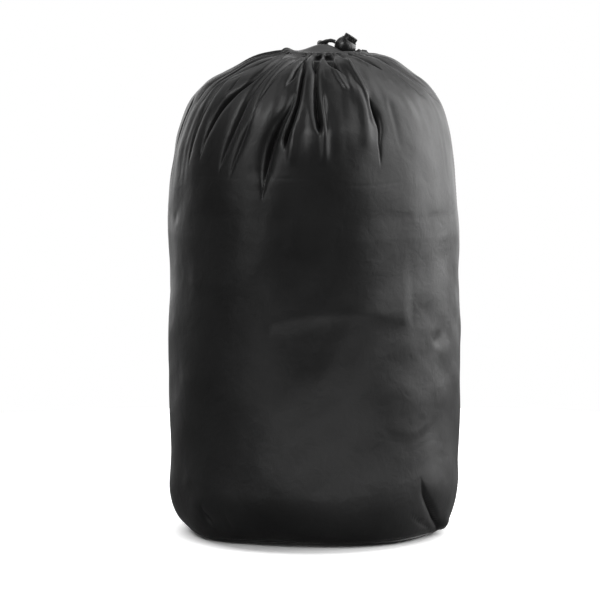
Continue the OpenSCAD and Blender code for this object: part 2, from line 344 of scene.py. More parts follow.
def cloth_material(name, dark, light, rough, weave, sheen, uv=True):
    """Closely woven coated nylon: a plain weave, a faint slub, and soft patches of wear."""
    mat, tree, bsdf, coord = new_material(name, Sheen_Weight=sheen, Sheen_Roughness=0.45, IOR=1.5)
    where = coord.outputs["Object"]
    along = coord.outputs["UV" if uv else "Object"]
    patches = noise(tree, where, Scale=14.0, Detail=4.0, Roughness=0.55)
    # a plain weave: threads of the two directions rise in turn
    split = add(tree, "ShaderNodeSeparateXYZ", [("Vector", along)])
    k = math.pi / (weave * MM)
    wx, wy = (maths(tree, "SINE", maths(tree, "MULTIPLY", split.outputs[i], k)) for i in (0, 1))
    over = maths(tree, "MULTIPLY", wx, wy)
    slub = noise(tree, along, Scale=420.0, Detail=2.0)
    height = maths(tree, "ADD", maths(tree, "MULTIPLY", over, 0.5),
                   maths(tree, "MULTIPLY", slub, 0.9))
    crinkle = noise(tree, where, Scale=70.0, Detail=3.0, Roughness=0.5, Distortion=0.4)
    weave_bump = bump(tree, height, 0.16, 0.00012)
    feed(tree, bsdf,
         Base_Color=ramp(tree, patches, [(0.3, grey(dark)), (0.72, grey(light))]),
         Roughness=ramp(tree, patches, [(0.25, rough - 0.035), (0.75, rough + 0.045)]),
         Normal=bump(tree, crinkle, 0.5, 0.0009, [("Normal", weave_bump)]))
    return mat


def braid_material(name):
    """Braided nylon: the relief is in the mesh, and this adds the strands' fine yarns."""
    mat, tree, bsdf, coord = new_material(name, Roughness=0.5, Sheen_Weight=0.12)
    split = add(tree, "ShaderNodeSeparateXYZ", [("Vector", coord.outputs["UV"])])
    turn = maths(tree, "MULTIPLY", split.outputs[0], TURN * BRAID_STRANDS / 2)
    along = maths(tree, "MULTIPLY", split.outputs[1], TURN / (BRAID_PITCH * MM))
    yarns = maths(tree, "SINE", maths(tree, "ADD", maths(tree, "MULTIPLY", turn, 5.0), along))
    fuzz = noise(tree, coord.outputs["Object"], Scale=900.0, Detail=2.0)
    height = maths(tree, "ADD", maths(tree, "MULTIPLY", yarns, 0.4), fuzz)
    feed(tree, bsdf, Base_Color=ramp(tree, fuzz, [(0.3, grey(0.008)), (0.75, grey(0.03))]),
         Normal=bump(tree, height, 0.4, 0.00012))
    return mat


def woven_tape_material(name):
    """Matt binding tape, with ribs across it."""
    mat, tree, bsdf, coord = new_material(name, Roughness=0.75)
    where = coord.outputs["Object"]
    ribs = add(tree, "ShaderNodeTexWave", [("Vector", where)], Scale=900.0, Distortion=0.6,
               Detail=1.0)
    mix = maths(tree, "MULTIPLY", ribs.outputs["Fac"], noise(tree, where, Scale=300.0))
    feed(tree, bsdf, Base_Color=ramp(tree, mix, [(0.1, grey(0.012)), (0.7, grey(0.04))]),
         Normal=bump(tree, mix, 0.5, 0.0002))
    return mat


def thread_material(name):
    """Twisted polyester sewing thread."""
    mat, tree, bsdf, coord = new_material(name, Roughness=0.45)
    twist = add(tree, "ShaderNodeTexWave", [("Vector", coord.outputs["Object"])], Scale=1500.0,
                bands_direction="DIAGONAL", Distortion=0.3).outputs["Fac"]
    feed(tree, bsdf, Base_Color=ramp(tree, twist, [(0.2, grey(0.006)), (0.8, grey(0.018))]),
         Normal=bump(tree, twist, 0.5, 0.0001))
    return mat


def plastic_material(name):
    """Glossy moulded acetal with a faint orange peel and handling marks in its gloss."""
    mat, tree, bsdf, coord = new_material(name, Coat_Weight=0.15, Coat_Roughness=0.2)
    where = coord.outputs["Object"]
    marks = noise(tree, where, Scale=520.0, Detail=4.0, Roughness=0.6)
    peel = noise(tree, where, Scale=900.0)
    feed(tree, bsdf, Base_Color=ramp(tree, marks, [(0.3, grey(0.012)), (0.8, grey(0.02))]),
         Roughness=ramp(tree, marks, [(0.3, 0.27), (0.75, 0.4)]),
         Normal=bump(tree, peel, 0.08, 0.0001))
    return mat


def wire_material(name):
    """Drawn spring steel."""
    mat, tree, bsdf, coord = new_material(name, Metallic=1.0)
    drawn = noise(tree, coord.outputs["Object"], Scale=1200.0)
    feed(tree, bsdf, Base_Color=ramp(tree, drawn, [(0.3, (0.52, 0.53, 0.55)),
                                                   (0.7, (0.64, 0.65, 0.67))]),
         Roughness=ramp(tree, drawn, [(0.3, 0.22), (0.7, 0.38)]))
    return mat


NYLON = cloth_material("nylon_taffeta", 0.0045, 0.0075, 0.40, 0.5, 0.06)
# the flap is the same nylon painted a little lighter: painted light for the upturned crown, which
# catches the light from above
NYLON_FLAP_PAINTED_LIGHTER = cloth_material("nylon_flap_painted_lighter", 0.0055, 0.0085, 0.42, 0.5, 0.08, uv=False)
BRAID = braid_material("cord_braid")
TAPE = woven_tape_material("binding_tape")
THREAD = thread_material("sewing_thread")
PLASTIC = plastic_material("moulded_plastic")
WIRE = wire_material("spring_steel")


def paint(obj, mat):
    obj.data.materials.clear()
    obj.data.materials.append(mat)


def dress(obj, mat, slot, body, *stands_for):
    """Finishes a piece: its material, its body, and hides the CAD nodes that it stands for. The
    slot is not used.
    """
    if mat:
        paint(obj, mat)
    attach(obj, body)
    if stands_for:
        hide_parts(*stands_for)


# ---- Cords ----

def knot_route():
    """An overhand knot drawn tight: three crossings, flattened a little towards the sack."""
    t = np.linspace(0, TURN, 90)
    loop = np.stack([np.sin(t) + 2 * np.sin(2 * t), -0.8 * np.sin(3 * t),
                     np.cos(t) - 2 * np.cos(2 * t)], -1)
    return KNOT_AT + 1.22 * loop


def end_route(side):
    """One short end under the knot, leaning outward."""
    drop = np.linspace(0, 1, 16)[:, None]
    return KNOT_AT + np.concatenate([side * (1.2 + 1.6 * drop), -1 + 0 * drop, 2 - 21.5 * drop], 1)


def sealed_tip(at, toward, radius):
    """The melted bead on the end of a cord."""
    bm = bmesh.new()
    bmesh.ops.create_uvsphere(bm, u_segments=20, v_segments=12, radius=radius * MM)
    for v in bm.verts:
        wobble = 1 + 0.06 * math.sin(3 * math.atan2(v.co.y, v.co.x) + 900 * v.co.z)
        v.co.x, v.co.y, v.co.z = v.co.x * wobble, v.co.y * wobble, v.co.z * 0.55
    turn = Vector(toward).to_track_quat("Z", "Y")
    for v in bm.verts:
        v.co = turn @ v.co + Vector(at) * MM
    mesh = bpy.data.meshes.new("tip")
    bm.to_mesh(mesh)
    bm.free()
    return mesh


def cord_end_piece():
    """The two short ends and their tips as one object that keeps both materials."""
    parts = []
    for side in (-1, 1):
        tube, line = braided_tube("end_part", end_route(side), CORD_D / 2)
        paint(tube, BRAID)
        tip = bpy.data.objects.new("tip_part", sealed_tip(line[-1], line[-1] - line[-5],
                                                          CORD_D / 2 + 0.1))
        scene.collection.objects.link(tip)
        paint(tip, PLASTIC)
        parts += [tube, tip]
    for obj in bpy.data.objects:
        obj.select_set(obj in parts)
    for obj in parts:
        for poly in obj.data.polygons:
            poly.use_smooth = True
    bpy.context.view_layer.objects.active = parts[0]
    bpy.ops.object.join()
    parts[0].name = parts[0].data.name = "cord_end_tips"
    return parts[0]


def cord_stretch(name, route, **facts):
    """One free stretch of the drawcord. Gives it and its two ends. The facts are not used."""
    obj, line = braided_tube("cord_" + name, route, CORD_D / 2)
    paint(obj, BRAID)
    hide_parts("drawcord_" + name)
    path = as_metres(line)
    return obj, path[0], path[-1]


knot, _ = braided_tube("tail_knot", knot_route(), CORD_D / 2)
dress(knot, BRAID, "cord_braid", "sack", "cord_knot")
ends = cord_end_piece()
dress(ends, None, "cord_braid", "sack", "cord_ends")

for name, bend, side in (("lead_front", LEAD_FRONT, -1), ("lead_back", LEAD_BACK, 1)):
    cord, first, last = cord_stretch(name, lead_route(bend, side), far_end="object", lay="taut")
    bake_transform(cord)

# the two tails, from the lock down the back to the knot
for name, side, carried in (("tail_front", -1, [knot, ends]), ("tail_back", 1, [])):
    cord, _, _ = cord_stretch(name, tail_route(side), far_end="knot", lay="hanging",
                              with_pieces=carried)
    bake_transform(cord)


# ---- Fabric of the sack ----

SHOULDER_R, SHOULDER_H, SHOULDER_Z, POWER = 134.0, 151.0, 300.0, 2.8
NECK_R = 40.1
FLAT_R, CORNER_W, CORNER_H = 99.0, 36.0, 50.0
WALL_R = FLAT_R + CORNER_W
GAP_AT, GAP_HALF = 13, 13      # the opening of the channel, in degrees
SEAM_ANGLE = math.radians(20)
# The channel's section, from the lip inside the mouth over the top to the neck: radius, height
ROLL = [(26.8, 447.4), (28.6, 448.2), (30.8, 449.6), (33.2, 450.8), (35.6, 451.2), (38.0, 450.6),
        (40.1, 449.15)]


def sack_profile():
    """Distance along the cloth from the rim's top, radius, height and the mouth's offset."""
    roll = catmull([(r, z, 0) for r, z in ROLL], 12)[:-1]
    end = math.acos((NECK_R / SHOULDER_R) ** (POWER / 2))
    t = np.linspace(end, 0, 1500)
    r = SHOULDER_R * np.cos(t) ** (2 / POWER)
    z = SHOULDER_Z + SHOULDER_H * np.sin(t) ** (2 / POWER)
    wall_z = np.arange(298, 50, -2.0)
    wall_r = np.interp(wall_z, [50, 280, 300], [WALL_R, WALL_R, SHOULDER_R])
    a = np.linspace(math.pi / 2, SEAM_ANGLE, 60)
    radius = np.concatenate([roll[:, 0], r, wall_r, FLAT_R + CORNER_W * np.sin(a)])
    height = np.concatenate([roll[:, 1], z, wall_z, CORNER_H - CORNER_H * np.cos(a)])
    shift = np.concatenate([np.full(len(roll), MOUTH_X), MOUTH_X * (t / end) ** 3,
                            np.zeros(len(wall_z) + len(a))])
    s = np.concatenate([[0], np.cumsum(np.hypot(np.diff(radius), np.diff(height)))])
    return s - s[np.argmax(height)], radius, height, shift


PROFILE = sack_profile()


def front(theta):
    """1 at the front of the sack, falling to 0 at its sides and behind."""
    return np.clip(-np.sin(theta), 0, 1) ** 1.5


def turn_from(theta, at):
    """Degrees from direction at (in degrees) to theta (in radians), -180 to 180."""
    return (np.degrees(theta) - at + 180) % 360 - 180


def hump(theta, at, size, power=2):
    """1 in direction at (degrees), falling off over size degrees."""
    return np.exp(-np.abs(turn_from(theta, at) / size) ** power)


def rim_dip(theta, radius):
    """How far the rim sags under the pull of the pleats. It stands up at its left and right, and
    under the cords behind."""
    drop = 5.2 - 4.1 * hump(theta, 180, 20) - 1.2 * hump(theta, 12, 30)
    drop = drop - 4.8 * hump(theta, 86, 13, 4)
    inner = ease((radius - 25.5) / 6)
    return drop * inner * np.exp(-(np.clip(radius - 38, 0, None) / 22.0) ** 2)


CROWN_AT = np.array([8.5, -1.0])
CROWN_FOOT, CROWN_RISE, CROWN_W = 446.0, 7.4, 17.0
FLOOR_OF_NECK = 439.8      # lowest height of a pleat's bottom over the flap and its hem


def crown_height(x, y):
    """Height of the flap's crown, which stands up through the mouth."""
    dy = y - CROWN_AT[1]
    d = np.hypot(x - CROWN_AT[0], np.where(dy > 0, 0.65 * dy, dy))
    return CROWN_FOOT + CROWN_RISE * np.exp(-(d / CROWN_W) ** 2)


def corner_fill(theta):
    """How far the foot is pushed out at its four soft corners, in millimetres."""
    corners = ((-143, 20, 15), (-54, 28, 15), (-10, 16, 9), (-96, 20, -3), (40, 24, 9),
               (138, 24, 10))
    return sum(amount * hump(theta, at, size) for at, size, amount in corners)


# Pleats of the front, drawn in by the cord. Each line: distances along the cloth from the rim
# with the direction in degrees (-90 is the front, -180 the left) and the depth in millimetres;
# then the width of the pleat's left and right side and how sharp its bottom is.
PLEATS = [
    # left shoulder
    ([(9, -144, 2.2), (28, -136, 2.5), (40, -138, 2.5), (53, -143, 2),
      (66, -150, 0)], 3.5, 2.2, 1.0),
    ([(58, -138, 0), (66, -142, 0.8), (78, -156, 0)], 3, 1.6, 1.0),
    ([(60, -138, 0), (66, -138, 1.5), (78, -138, 1.6), (92, -140, 0)], 2.5, 1.5, 1.0),
    ([(12, -136, 2), (34, -127, 4.5), (50, -126, 4.2), (66, -127.5, 3.6), (84, -133, 4.4),
      (100, -138, 5), (116, -140.5, 4.4), (134, -142, 2), (156, -143, 0)], 6, 4, 1.1),
    ([(14, -121, 1), (40, -120.5, 2), (66, -121.5, 2.4), (86, -123, 2.8), (110, -125, 3.4),
      (134, -127.5, 2.4), (166, -131, 0)], 8, 5, 1.7),
    ([(100, -117, 0), (132, -121, 1.2), (172, -126, 0)], 5, 3, 1.5),
    # left of the middle
    ([(3, -118, 2), (14, -114, 4), (34, -112, 4), (50, -113.5, 2.4), (76, -115.5, 1.6),
      (112, -119, 0)], 5, 2.6, 1.0),
    ([(22, -105, 0), (34, -104, 2.6), (60, -103.5, 3), (72, -105, 2),
      (82, -106, 0)], 4, 1.8, 0.9),
    ([(2, -110, 3), (28, -104, 3.5), (53, -99, 4), (84, -98, 4.5), (112, -100, 5.5),
      (130, -102, 5), (138, -102.3, 3), (143, -102.5, 0)], 5, 2.2, 0.9),
    ([(72, -99, 0), (96, -101.5, 2.6), (118, -106, 5.4), (140, -109, 6.6), (158, -110, 5.4),
      (172, -110.4, 2), (190, -111, 0)], 9, 6, 1.4),
    # the middle
    ([(2, -101, 4), (8, -97, 5), (24, -94.5, 5), (34, -94, 5), (44, -93, 5), (60, -91, 2.6),
      (86, -90, 4), (104, -89, 5.5), (118, -88, 5), (130, -88, 0)], 5.5, 3.4, 1.2),
    ([(78, -86.5, 0), (94, -86, 1.6), (116, -85.3, 1.2), (130, -85, 0)], 2, 3, 1.0),
    ([(2, -88, 4), (8, -86, 5), (26, -83.3, 5), (40, -81.5, 5), (52, -77.5, 3),
      (66, -73, 0)], 5, 4, 1.3),
    ([(1, -80, 3), (8, -79, 3), (16, -78, 0)], 2, 2, 1.2),
    ([(2, -74, 3.5), (12, -72, 4), (30, -71, 3.5), (44, -70, 0)], 3, 2.4, 1.0),
    ([(80, -64.7, 0), (98, -64.2, 2.8), (110, -62.5, 4), (120, -62, 3), (136, -63, 1.6),
      (160, -63, 0)], 2.4, 3.6, 1.1),
    # right of the middle
    ([(2, -56, 3), (24, -54, 4.5), (40, -52, 4), (52, -48, 2), (60, -46, 0)], 7, 3, 1.3),
    ([(3, -36, 2), (22, -34, 3), (44, -32, 3.2), (62, -27, 3), (80, -21, 2.6), (96, -14, 1.8),
      (108, -8, 0)], 2.2, 4, 0.9),
    ([(52, -37, 0), (64, -36, 1), (80, -32.5, 1.2), (100, -25, 0)], 2, 3, 1.0),
    ([(8, -46, 1), (20, -45, 1.6), (34, -44, 0)], 2, 2, 1.0),
    ([(4, -25, 2), (18, -24, 2.4), (40, -19, 1.6), (60, -12, 0)], 3, 3, 1.0),
    # the foot's front corners
    ([(438, -45, 0), (454, -42, 2.2), (470, -36, 4), (486, -28, 4.5), (498, -22, 2.5),
      (508, -19, 0)], 12, 2.2, 1.1),
    ([(470, -52, 0), (482, -44, 1.2), (496, -32, 1.6), (506, -24, 0)], 5, 4, 1.3),
    ([(462, -139, 0), (474, -141, 1.2), (484, -138, 1.4), (498, -133, 0)], 5, 8, 1.3),
    ([(470, -128, 0), (480, -128, 0.7), (498, -124, 0)], 5, 5, 1.4),
]
# Open slots between panels that the cord hasn't drawn together, in the same form
SLOTS = [
    ([(0, -100.5, 0), (7, -98.5, 5), (16, -96, 8.5), (30, -94.6, 8.5), (40, -93.6, 6),
      (54, -92.6, 0)], 2.5, 2.6, 2.4),
    ([(0, -88, 0), (7, -87, 5), (16, -85, 8.5), (30, -83.2, 8.5), (42, -81.6, 6),
      (58, -78, 0)], 2.8, 3.0, 2.4),
]
# Raised folds beside the pleats, in the same form
RIDGES = [
    ([(84, -88, 0), (100, -87, 1.6), (118, -86, 2.2), (140, -86, 1.8), (158, -86.5, 0)], 3, 3.6),
    ([(40, -83.5, 0), (54, -80, 1.6), (74, -76, 1.8), (90, -72.5, 0)], 2.2, 2.6),
    ([(62, -72, 0), (84, -70, 2.4), (104, -68, 2.6), (126, -68, 1.6), (146, -68, 0)], 6, 5),
    ([(2, -74, 0), (16, -72.5, 1.8), (40, -69.5, 2), (66, -67, 2), (90, -65.5, 2.4),
      (110, -65, 2), (124, -64, 0)], 3, 1.8),
    ([(4, -66, 0), (20, -63, 1.2), (40, -57, 1.4), (54, -49, 1), (62, -45, 0)], 3, 2),
    ([(104, -99.5, 0), (120, -99, 1.5), (140, -99.5, 1.8), (160, -100, 0)], 3, 4.5),
]
# Press creases and slack folds across the wall: (degrees, distance) along each, then the height
# in millimetres (negative is a valley) and the widths above and below
CREASES = [
    ([(-112, 166), (-100, 166), (-88, 167)], -0.12, 1.6, 1.2),
    ([(-80, 172), (-68, 172.5), (-58, 171), (-50, 170)], -0.12, 1.6, 1.2),
    ([(-148, 168), (-132, 166), (-118, 167)], -0.1, 1.6, 1.2),
    ([(-112, 300), (-90, 288), (-72, 287), (-48, 296)], 1.5, 34, 9),
    ([(-150, 262), (-138, 266), (-122, 262)], 0.8, 16, 7),
    ([(-158, 352), (-146, 356), (-130, 350)], 0.9, 18, 7),
    ([(-62, 392), (-50, 398), (-36, 390)], 0.8, 20, 8),
    ([(-156, 452), (-146, 446), (-134, 450)], 0.9, 10, 5),
    ([(20, 230), (48, 224), (70, 232)], 1.0, 26, 9),
    ([(100, 290), (130, 284), (160, 294)], 1.2, 30, 9),
    ([(24, 372), (50, 366), (72, 374)], 1.0, 26, 8),
    ([(104, 400), (126, 406), (152, 398)], 1.0, 22, 8),
]
# Dents and bumps: direction, size in degrees, distance, size in millimetres, height
DENTS = [
    (-102, 2.6, 225, 5, -0.9), (-96, 5, 240, 9, 0.6), (-34, 3, 317, 6, -0.75),
    (-30, 6, 326, 12, 0.7), (-162, 2.6, 208, 5, -0.9), (-138, 5, 478, 7, -1.0),
    (-144, 5, 470, 8, 1.0),
    (-128, 5, 462, 10, 0.8), (60, 5, 300, 12, -0.9), (150, 6, 240, 14, -0.9),
    (-17, 5, 494, 7, 4.5), (-14, 3, 501, 4, 2.0),
]
# Shape of this sack, in the same form: the right wall is fuller low down, the left one high up
FULLNESS = [
    (178, 50, 52, 22, -5.0), (-6, 45, 55, 24, -4.2), (-6, 32, 158, 34, -3.6),
    (178, 26, 160, 30, -1.5), (-15, 30, 330, 90, 1.2),
]


def generated_pleats():
    """Pleats of the sides and the back, which are of the same kind as those in front."""
    rng = np.random.default_rng(7)
    out = []
    theta = -2.0
    while theta < 205:
        theta += rng.uniform(6.5, 12.5)
        start = rng.uniform(1, 8)
        length = rng.choice([45, 70, 110, 150]) * rng.uniform(0.85, 1.15)
        depth = rng.uniform(2.6, 5.0) * (1.15 if length > 90 else 0.9)
        drift = rng.uniform(-7, 7)
        near = rng.uniform(-2, 2)
        line = [(start, theta, 0.7 * depth), (start + 0.2 * length, theta + near, depth),
                (start + 0.5 * length, theta + near + 0.5 * drift, 0.8 * depth),
                (start + 0.78 * length, theta + near + 0.78 * drift, 0.36 * depth),
                (start + length, theta + near + drift, 0)]
        out.append((line, rng.uniform(2.2, 5), rng.uniform(2.2, 5), rng.uniform(0.9, 1.3)))
        if rng.random() < 0.55:
            s0 = rng.uniform(60, 95)
            line = [(s0, theta + 4, 0), (s0 + 24, theta + 4, 1.7),
                    (s0 + 50, theta + 4 + drift / 2, 1.6), (s0 + 100, theta + 4 + drift, 0)]
            out.append((line, rng.uniform(5, 8), rng.uniform(4, 7), 1.5))
    return [([(s, t if t < 180 else t - 360, d) for s, t, d in line], *rest)
            for line, *rest in out]


def fine_pleats():
    """Faint puckers between the pleats, close to the mouth."""
    rng = np.random.default_rng(21)
    out = []
    for theta in np.arange(-178, 180, 7.5):
        t = theta + rng.uniform(-3, 3)
        s0 = rng.uniform(8, 40)
        n = rng.uniform(24, 60)
        d = rng.uniform(0.2, 0.45)
        out.append(([(s0, t, 0), (s0 + 0.3 * n, t, d), (s0 + n, t + rng.uniform(-3, 3), 0)],
                    rng.uniform(1.2, 2.4), rng.uniform(1.2, 2.4), 1.2))
    return out


def soft_streaks():
    """Long shallow folds that run on down from the pleats, all round."""
    rng = np.random.default_rng(33)
    out = []
    for theta in np.arange(-180, 180, 5.0):
        t = theta + rng.uniform(-2, 2)
        s0, n = rng.uniform(24, 90), rng.uniform(60, 130)
        d = rng.uniform(0.3, 0.9)
        lean = rng.uniform(-3, 3) + 5 * math.sin(math.radians(t + 90))
        out.append(([(s0, t, 0), (s0 + 0.35 * n, t + 0.3 * lean, d), (s0 + n, t + lean, 0)],
                    rng.uniform(3, 6), rng.uniform(3, 6), 1.6))
    return out


def fold_field(theta, s, radius, folds, power, scale=(1.0, 1.0), narrowing=0.0,
               soft=False):
    """Depth of a set of folds at every point of the grid, the deepest one counting most."""
    total = np.zeros((len(s), len(theta)))
    for fold in folds:
        line, left, right = fold[:3]
        sharp = fold[3] if len(fold) > 3 else 2.0
        ks, kt, kd = np.array(line, float).T
        kt = np.degrees(np.unwrap(np.radians(kt)))
        rows = np.where((s >= ks[0] - 12) & (s <= ks[-1] + 12))[0]
        if not len(rows):
            continue
        centre = soft_interp(s[rows], ks, kt)
        depth = soft_interp(s[rows], ks, kd)
        fade = ease((s[rows] - ks[0] + 10) / 10) if ks[0] < 12 else \
            ease((s[rows] - ks[0]) / 20)
        fade = fade * ease((ks[-1] - s[rows]) / 14)
        depth = np.clip(depth, 0, None) * fade
        taper = (1 - narrowing + narrowing * depth / depth.max())[:, None]
        slope = np.gradient(np.radians(centre), s[rows]) * radius[rows]
        gap = turn_from(theta[None], centre[:, None])
        d = np.radians(gap) * radius[rows][:, None] / np.sqrt(1 + slope[:, None] ** 2)
        w = np.where(d < 0, left * scale[0], right * scale[1]) * taper
        near = np.abs(d) < 5 * w
        u = np.where(near, np.abs(d) / w, 5)
        if soft:
            shape = (1 - (u / 5) ** 2) ** 2 / (1 + u ** 2)
        else:
            # a rounded bottom half a millimetre wide keeps the mesh clean
            shape = np.exp(-(np.sqrt(u ** 2 + (0.35 / w) ** 2) - 0.35 / w) ** sharp)
        total[rows] += (depth[:, None] * np.where(near, shape, 0)) ** power
    return total ** (1 / power)


def lowest_nearby(field, reach):
    """Smoothed minimum of each row over a window of columns, which wraps round."""
    for of_window in (np.min, np.mean):
        ring = np.concatenate([field[:, -reach:], field, field[:, :reach]], 1)
        windows = np.lib.stride_tricks.sliding_window_view(ring, 2 * reach + 1, axis=1)
        field = of_window(windows, -1)
    return field


def line_field(theta, s, lines):
    """Creases that run across: each a list of (degrees, distance), then depth, upper width and
    lower width."""
    total = np.zeros((len(s), len(theta)))
    for knots, depth, above, below in lines:
        kt, ks = np.array(knots, float).T
        deg = turn_from(theta, kt[0]) + kt[0]
        centre = soft_interp(np.clip(deg, kt[0], kt[-1]), kt, ks)
        fade = ease((deg - kt[0]) / 6) * ease((kt[-1] - deg) / 6)
        d = s[:, None] - centre[None]
        w = np.where(d < 0, above, below)
        total += depth * fade[None] * np.exp(-(np.abs(d) / w) ** 1.6)
    return total


def ease(x):
    """0 to 1 with a soft start and end, as x goes from 0 to 1."""
    x = np.clip(x, 0, 1)
    return x * x * (3 - 2 * x)


def soft_interp(x, xp, fp):
    """Piecewise curve with smooth joints (a monotone cubic)."""
    xp, fp = np.asarray(xp, float), np.asarray(fp, float)
    h = np.diff(xp)
    slope = np.diff(fp) / h
    m = np.zeros(len(xp))
    m[0], m[-1] = slope[0], slope[-1]
    for i in range(1, len(xp) - 1):
        if slope[i - 1] * slope[i] > 0:
            w1, w2 = 2 * h[i] + h[i - 1], h[i] + 2 * h[i - 1]
            m[i] = (w1 + w2) / (w1 / slope[i - 1] + w2 / slope[i])
    k = np.clip(np.searchsorted(xp, x) - 1, 0, len(h) - 1)
    t = np.clip((x - xp[k]) / h[k], 0, 1)
    h00, h10 = (1 + 2 * t) * (1 - t) ** 2, t * (1 - t) ** 2
    h01, h11 = t * t * (3 - 2 * t), t * t * (t - 1)
    return h00 * fp[k] + h10 * h[k] * m[k] + h01 * fp[k + 1] + h11 * h[k] * m[k + 1]


def waves(x, y, seed, count, low, high):
    """Smooth seeded undulation: a sum of plane waves of wavelengths from low to high."""
    rng = np.random.default_rng(seed)
    out = np.zeros(np.broadcast(x, y).shape)
    for _ in range(count):
        a = rng.uniform(0, TURN)
        k, phase = TURN / rng.uniform(low, high), rng.uniform(0, 7)
        out = out + np.sin(k * (x * math.cos(a) + y * math.sin(a)) + phase)
    return out / math.sqrt(count)


def blob(theta, s, at, size, s_at, s_size):
    """A soft bump in direction at (degrees, size in degrees) and distance s_at."""
    return hump(theta[None], at, size) * np.exp(-((s[:, None] - s_at) / s_size) ** 2)


def sack_surface(theta, s):
    """The cloth from the lip inside the mouth to the base seam: points by row and column."""
    radius, height, shift = (np.interp(s, PROFILE[0], p) for p in PROFILE[1:])
    r, z, c, ss = radius[:, None], height[:, None], shift[:, None], s[:, None]
    ct, st, ahead = np.cos(theta)[None], np.sin(theta)[None], front(theta)[None]
    z = z - rim_dip(theta, r)
    # where the rim sags, the cloth runs over it without a step
    z = z + 1.3 * ease(2 * ahead) * np.exp(-((r - 43) / 6) ** 2)
    # in front, the rim's inner half lies on the crown and takes its curve
    over = crown_height(c + r * ct, r * st) + 0.35
    over = np.logaddexp(z / 0.7, over / 0.7) * 0.7
    z = z + (over - z) * ease(1.8 * ahead) * (r < 37)
    foot = np.clip((WALL_R - r) / CORNER_W, 0, 1) * (ss > 300)
    r = r + foot * corner_fill(theta)[None]
    base = np.stack([c + r * ct, r * st, z + 0 * ct], -1)
    ds = np.gradient(base, s, axis=0)
    dt = np.gradient(np.concatenate([base[:, -1:], base, base[:, :1]], 1), axis=1)[:, 1:-1]
    normal = np.cross(dt, ds)
    normal /= np.linalg.norm(normal, axis=2)[..., None]
    outward = (normal[..., 0] * ct + normal[..., 1] * st + 0.8 * normal[..., 2])
    if outward[len(s) // 2].mean() < 0:
        normal = -normal

    folds = partial(fold_field, theta, s, radius)
    pleats = PLEATS + generated_pleats()
    valleys = 1.4 * folds(pleats, 3.0, (0.34, 0.62), 0.7, soft=True)
    # the cloth rises in a round lobe between one pleat and the next
    lobes = folds([(line, 3.2 * left, 3.2 * right, 1.0) for line, left, right, _ in pleats], 2.0)
    fine = folds(fine_pleats(), 3.0) + folds(soft_streaks(), 3.0)
    ridges = folds(RIDGES, 3.0)
    valleys = valleys + 0.5 * lobes
    valleys = valleys - lowest_nearby(valleys, 16) * ease((130 - ss) / 80)
    valleys = np.maximum(valleys, 0) + folds(SLOTS, 3.0, narrowing=0.6)
    # over the channel the folds can only be as deep as the cloth stands off the cord
    roll = ease((6.5 - ss) / 5)
    valleys = valleys * (1 - roll) + 1.0 * np.tanh(valleys / 4.0) * roll
    valleys = valleys * (1 - ahead * ease((2 - ss) / 4))
    valleys = valleys * ease((ss - s[0]) / 7)

    # broad soft undulation of the stuffed wall, and small unevenness
    arc = ct * WALL_R, st * WALL_R
    wall = ease((ss - 90) / 90)
    facing = st ** 2      # 1 in front and behind, 0 at the two sides
    broad = facing * waves(arc[0] + 0.35 * arc[1], ss, 3, 9, 90, 190) \
        + (1 - facing) * waves(arc[1] - 0.2 * arc[0], ss * 0.8, 5, 9, 60, 130)
    shallow = facing * waves(arc[0] - 0.5 * arc[1], ss, 11, 10, 22, 55) \
        + (1 - facing) * waves(arc[1] + 0.4 * arc[0], ss, 17, 10, 22, 55)
    out = -valleys - fine + ridges + wall * (1.0 * broad + 0.22 * shallow)
    out += 0.35 * (1 - wall) * shallow * ease(ss / 40)

    out += line_field(theta, s, CREASES)
    for at, size, s_at, s_size, amount in DENTS + FULLNESS:
        out += amount * blob(theta, s, at, size, s_at, s_size)

    # the cords hang down the back, clear of the cloth
    behind = blob(theta, s, 86, 6, 200, 1e6) * ease((ss + 4) / 6)
    out = out - behind * np.clip(out - 0.2, 0, None)

    # hem at the base seam: the cloth draws in a little
    out -= 0.5 * np.exp(-((s[-1] - ss) / 1.6) ** 2)
    # upright seam, just behind the right edge
    seam = (np.degrees(theta)[None] - 1.4) * math.pi / 180 * radius[:, None]
    out -= 0.9 * np.exp(-(np.abs(seam) / 0.9) ** 1.3) * ease((ss - 14) / 20)

    # the gap in the channel where the cords come out
    gap = ease((GAP_HALF + 3 - np.abs(turn_from(theta[None], GAP_AT))) / 3)
    points = base + normal * out[..., None]
    # a pleat's bottom stays above the flap and its hem, which lie flat inside the neck
    off = np.hypot(points[..., 0] - MOUTH_X, points[..., 1])
    lowest = FLOOR_OF_NECK - 18 * ease((off - 59) / 18)
    above = np.logaddexp(points[..., 2] / 0.8, lowest / 0.8) * 0.8
    points[..., 2] = np.where((radius[:, None] < 88) & (off < 76), above, points[..., 2])
    q = np.clip((ss - s[0]) / (6.0 - s[0]), 0, 1)
    lip_r, lip_z = 40.1 - 1.6 * q, 443.8 + 3.7 * np.sin(q * math.pi / 2)
    lip = np.stack([MOUTH_X + lip_r * ct, lip_r * st, lip_z + 0 * ct], -1)
    g = (gap * (ss < 6.0))[..., None]
    return points * (1 - g) + lip * g


# directions of the columns, closer together where the folds are listed one by one, and the rows'
# distances
columns = np.radians(np.concatenate([np.linspace(-162, -4, 460, endpoint=False),
                                     np.linspace(-4, 198, 300, endpoint=False)]))
rows_s = np.concatenate([np.linspace(PROFILE[0][0], 60, 92, endpoint=False),
                         np.linspace(60, 180, 110, endpoint=False),
                         np.linspace(180, PROFILE[0][-1], 130)])
points = sack_surface(columns, rows_s)
arc_u = np.concatenate([columns, [columns[0] + TURN]]) * WALL_R * MM
fabric = mesh_object("sack_fabric", points.reshape(-1, 3), grid_faces(len(rows_s), len(columns)),
                     grid_uv(arc_u, rows_s * MM))
dress(fabric, NYLON, "sack_cloth", "sack",
      "side_panel", "shoulder_panel", "gathered_neck", "drawcord_channel")


# ---- Base ----

